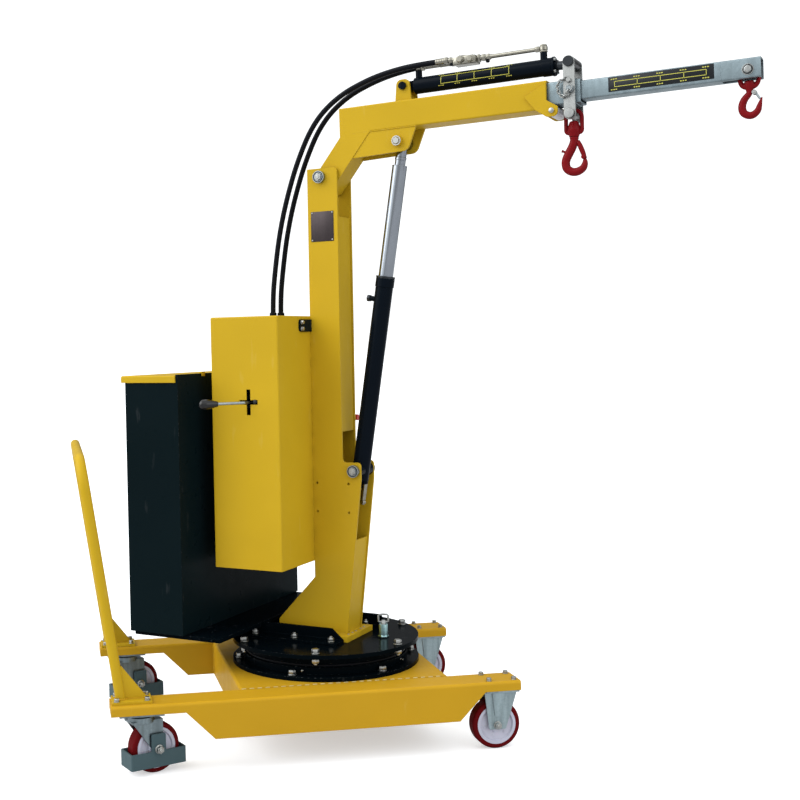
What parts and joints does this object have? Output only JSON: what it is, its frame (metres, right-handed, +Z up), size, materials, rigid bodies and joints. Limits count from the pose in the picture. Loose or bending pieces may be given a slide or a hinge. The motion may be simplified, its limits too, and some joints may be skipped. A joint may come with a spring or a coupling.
{
  "type": "mobile slewing workshop crane",
  "caption": "Wheeled workshop crane: low castor chassis, slewing mast with counterweight and power-pack cabinet, hydraulic lifting boom and telescopic jib with hooks.",
  "frame": {"origin": "floor level under the middle of the part's bounding box, in the pictured pose", "axes": "+X along the boom towards its tip, +Z up, +Y away from the control-lever side"},
  "size_m": [2.3692, 1.5285, 2.2689],
  "materials": {
    "yellow_paint": "gloss enamel",
    "black_paint": "gloss enamel",
    "zinc": "zinc plated",
    "chrome": "polished",
    "hub_nylon": "moulded",
    "tyre_red": "cast polyurethane",
    "hook_red": "powder coat",
    "guard_grey": "satin",
    "knob_black": "moulded",
    "button_red": "moulded",
    "chart_black": "printed plate",
    "hose_rubber": "smooth"
  },
  "bodies": {
    "chassis": {"beam_near": "yellow_paint", "beam_far": "yellow_paint", "crossmember": "yellow_paint", "lower_disc": "black_paint", "slewing_ring": "black_paint", "front_fork_near": "zinc", "front_fork_far": "zinc", "castor_plate_near": "zinc", "castor_plate_far": "zinc", "push_handle": "yellow_paint"},
    "turntable": {"upper_disc": "black_paint", "rail_near": "black_paint", "rail_far": "black_paint", "mast": "yellow_paint", "boom_pin": "zinc", "trunnion_pin": "zinc", "tower": "black_paint", "tower_lid": "yellow_paint", "counterweight": "black_paint", "cabinet": "yellow_paint", "cabinet_hanger_near": "black_paint", "cabinet_hanger_far": "black_paint", "stop_button": "button_red", "lever_valve": "zinc", "lock_tube": "zinc", "hose_a": "hose_rubber", "hose_b": "hose_rubber"},
    "lever_yoke": {"lever_yoke": "zinc"},
    "lever": {"control_lever": "zinc", "lever_knob": "knob_black"},
    "lock_pin": {"lock_pin": "zinc"},
    "boom": {"boom": "yellow_paint", "jib_roller": "zinc", "extension_barrel": "black_paint", "valve_block": "zinc"},
    "lift_barrel": {"lift_barrel": "black_paint"},
    "lift_rod": {"lift_rod": "chrome"},
    "jib": {"jib_tube": "zinc", "jib_bracket": "zinc", "extension_rod": "chrome", "jib_lock_pin": "zinc"},
    "inner": {"inner_tube": "zinc", "chart_plate": "chart_black"},
    "tip_hook": {"tip_hook": "hook_red"},
    "tip_latch": {"tip_latch": "zinc"},
    "hook_link": {"hook_link": "hook_red"},
    "swivel_hook": {"swivel_hook": "hook_red"},
    "hook_gate": {"hook_gate": "hook_red"},
    "front_wheel_near": {"front_wheel_near_hub": "hub_nylon", "front_wheel_near_tyre": "tyre_red"},
    "castor_near": {"castor_fork_near": "zinc", "foot_guard_near": "guard_grey"},
    "castor_wheel_near": {"castor_wheel_near_hub": "hub_nylon", "castor_wheel_near_tyre": "tyre_red"},
    "front_wheel_far": {"front_wheel_far_hub": "hub_nylon", "front_wheel_far_tyre": "tyre_red"},
    "castor_far": {"castor_fork_far": "zinc", "foot_guard_far": "guard_grey"},
    "castor_wheel_far": {"castor_wheel_far_hub": "hub_nylon", "castor_wheel_far_tyre": "tyre_red"}
  },
  "joints": [
    {"name": "slew", "type": "hinge", "parent": "chassis", "child": "turntable", "pos_m": [-0.2759, 0.0731, 0.316], "axis": [0, 0, 1], "continuous": true},
    {"name": "boom_lift", "type": "hinge", "parent": "turntable", "child": "boom", "pos_m": [-0.2335, 0.0731, 1.9068], "axis": [0, -1, 0], "range_deg": [-35, 25], "deforming": ["hose_a", "hose_b"]},
    {"name": "lift_barrel_tilt", "type": "hinge", "parent": "turntable", "child": "lift_barrel", "pos_m": [-0.1246, 0.0731, 0.8966], "axis": [0, -1, 0], "range_deg": [-8, 6]},
    {"name": "lift_stroke", "type": "slide", "parent": "lift_barrel", "child": "lift_rod", "axis": [0.1569, 0, 0.9876], "range_m": [-0.2, 0.15]},
    {"name": "jib_extend", "type": "slide", "parent": "boom", "child": "jib", "axis": [0.9999, 0, 0.014], "range_m": [0, 0.4]},
    {"name": "inner_extend", "type": "slide", "parent": "jib", "child": "inner", "axis": [0.9999, 0, 0.014], "range_m": [-0.36, 0.12]},
    {"name": "tip_hook_swing", "type": "hinge", "parent": "inner", "child": "tip_hook", "pos_m": [1.14681, 0.0731, 2.10909], "axis": [0, -1, 0], "range_deg": [-40, 40]},
    {"name": "tip_latch_open", "type": "hinge", "parent": "tip_hook", "child": "tip_latch", "pos_m": [1.16281, 0.0731, 2.04509], "axis": [0, 1, 0], "range_deg": [0, 30], "stiffness_Nm_per_rad": 0.05, "springref_deg": -17.19},
    {"name": "hook_swing", "type": "hinge", "parent": "jib", "child": "hook_link", "pos_m": [0.62981, 0.0731, 2.03387], "axis": [0, -1, 0], "range_deg": [-40, 40]},
    {"name": "hook_swivel", "type": "hinge", "parent": "hook_link", "child": "swivel_hook", "pos_m": [0.62981, 0.0731, 1.96787], "axis": [0, 0, 1], "continuous": true},
    {"name": "hook_gate_open", "type": "hinge", "parent": "swivel_hook", "child": "hook_gate", "pos_m": [0.66131, 0.0731, 1.90187], "axis": [0, 1, 0], "range_deg": [0, 40], "stiffness_Nm_per_rad": 0.05, "springref_deg": -17.19},
    {"name": "lever_sideways", "type": "hinge", "parent": "turntable", "child": "lever_yoke", "pos_m": [-0.3969, -0.1949, 1.143], "axis": [0, 0, 1], "range_deg": [-6, 6], "stiffness_Nm_per_rad": 3},
    {"name": "lever_up_down", "type": "hinge", "parent": "lever_yoke", "child": "lever", "pos_m": [-0.3969, -0.1949, 1.143], "axis": [1, 0, 0], "range_deg": [-6, 6], "stiffness_Nm_per_rad": 3},
    {"name": "lock_pin_lift", "type": "slide", "parent": "turntable", "child": "lock_pin", "axis": [0, 0, 1], "range_m": [0, 0.015], "stiffness_N_per_m": 600, "springref_m": -0.01},
    {"name": "front_wheel_near_spin", "type": "hinge", "parent": "chassis", "child": "front_wheel_near", "pos_m": [0.33833, 0.06931, 0.08], "axis": [-0.6252, 0.7804, 0], "continuous": true},
    {"name": "castor_near_swivel", "type": "hinge", "parent": "chassis", "child": "castor_near", "pos_m": [-0.56462, -0.65409, 0.197], "axis": [0, 0, 1], "continuous": true},
    {"name": "castor_wheel_near_spin", "type": "hinge", "parent": "castor_near", "child": "castor_wheel_near", "pos_m": [-0.54384, -0.61991, 0.08], "axis": [-0.8545, 0.5195, 0], "continuous": true},
    {"name": "front_wheel_far_spin", "type": "hinge", "parent": "chassis", "child": "front_wheel_far", "pos_m": [-0.1456, 0.67337, 0.08], "axis": [-0.6252, 0.7804, 0], "continuous": true},
    {"name": "castor_far_swivel", "type": "hinge", "parent": "chassis", "child": "castor_far", "pos_m": [-1.04856, -0.05004, 0.197], "axis": [0, 0, 1], "continuous": true},
    {"name": "castor_wheel_far_spin", "type": "hinge", "parent": "castor_far", "child": "castor_wheel_far", "pos_m": [-1.02778, -0.01586, 0.08], "axis": [-0.8545, 0.5195, 0], "continuous": true}
  ],
  "couplings": [
    {"joint": "lift_barrel_tilt", "follows": "boom_lift", "ratio": 0.113},
    {"joint": "lift_stroke", "follows": "boom_lift", "m_per_rad": 0.28223}
  ]
}
